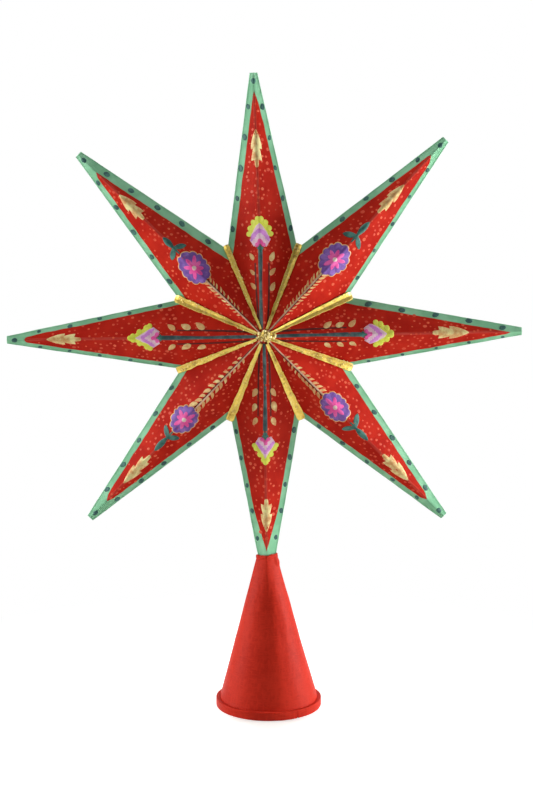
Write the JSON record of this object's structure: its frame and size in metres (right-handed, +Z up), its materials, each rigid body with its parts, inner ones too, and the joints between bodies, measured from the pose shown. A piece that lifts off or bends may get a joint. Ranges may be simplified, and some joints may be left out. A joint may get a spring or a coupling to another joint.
{
  "type": "tree topper",
  "caption": "Hollow folded-board star with ridged, pointed rays and gilt seams, on a paper cone that slips over the top of a tree.",
  "frame": {"origin": "middle of the cone's foot, on the surface that the topper stands on", "axes": "+Z up along the cone towards the star's top ray, -Y out of the decorated front, +X to the right as seen from the front"},
  "size_m": [0.2652, 0.0582, 0.3291],
  "materials": {
    "red_lacquer": "folded paper board painted with a dotted red lacquer ground, a green border and folk flowers, varnished",
    "gold_leaf": "crinkled gilt paper ribbon and gilt paste",
    "red_paper": "satin red painted paper board with faint fibre",
    "gold_paint": "gold metallic paint of the leaves, feathers and outlines",
    "teal_paint": "dark teal paint of the stems, sprigs and border dots",
    "purple_paint": "purple paint of the round flowers",
    "pink_paint": "pink paints of the flowers' petals",
    "lime_paint": "yellow-green paint of the buds' rims"
  },
  "bodies": {
    "root": {"ray_right_front": "red_lacquer", "ray_right_back": "red_lacquer", "ray_upper_right_front": "red_lacquer", "ray_upper_right_back": "red_lacquer", "ray_top_front": "red_lacquer", "ray_top_back": "red_lacquer", "ray_upper_left_front": "red_lacquer", "ray_upper_left_back": "red_lacquer", "ray_left_front": "red_lacquer", "ray_left_back": "red_lacquer", "ray_lower_left_front": "red_lacquer", "ray_lower_left_back": "red_lacquer", "ray_bottom_front": "red_lacquer", "ray_bottom_back": "red_lacquer", "ray_lower_right_front": "red_lacquer", "ray_lower_right_back": "red_lacquer", "seam_ribbon_1": "gold_leaf", "seam_ribbon_2": "gold_leaf", "seam_ribbon_3": "gold_leaf", "seam_ribbon_4": "gold_leaf", "seam_ribbon_5": "gold_leaf", "seam_ribbon_6": "gold_leaf", "seam_ribbon_7": "gold_leaf", "seam_ribbon_8": "gold_leaf", "gold_boss_front": "gold_leaf", "gold_boss_back": "gold_leaf", "cone_shell": "red_paper", "rim_band": "red_paper"}
  },
  "joints": []
}
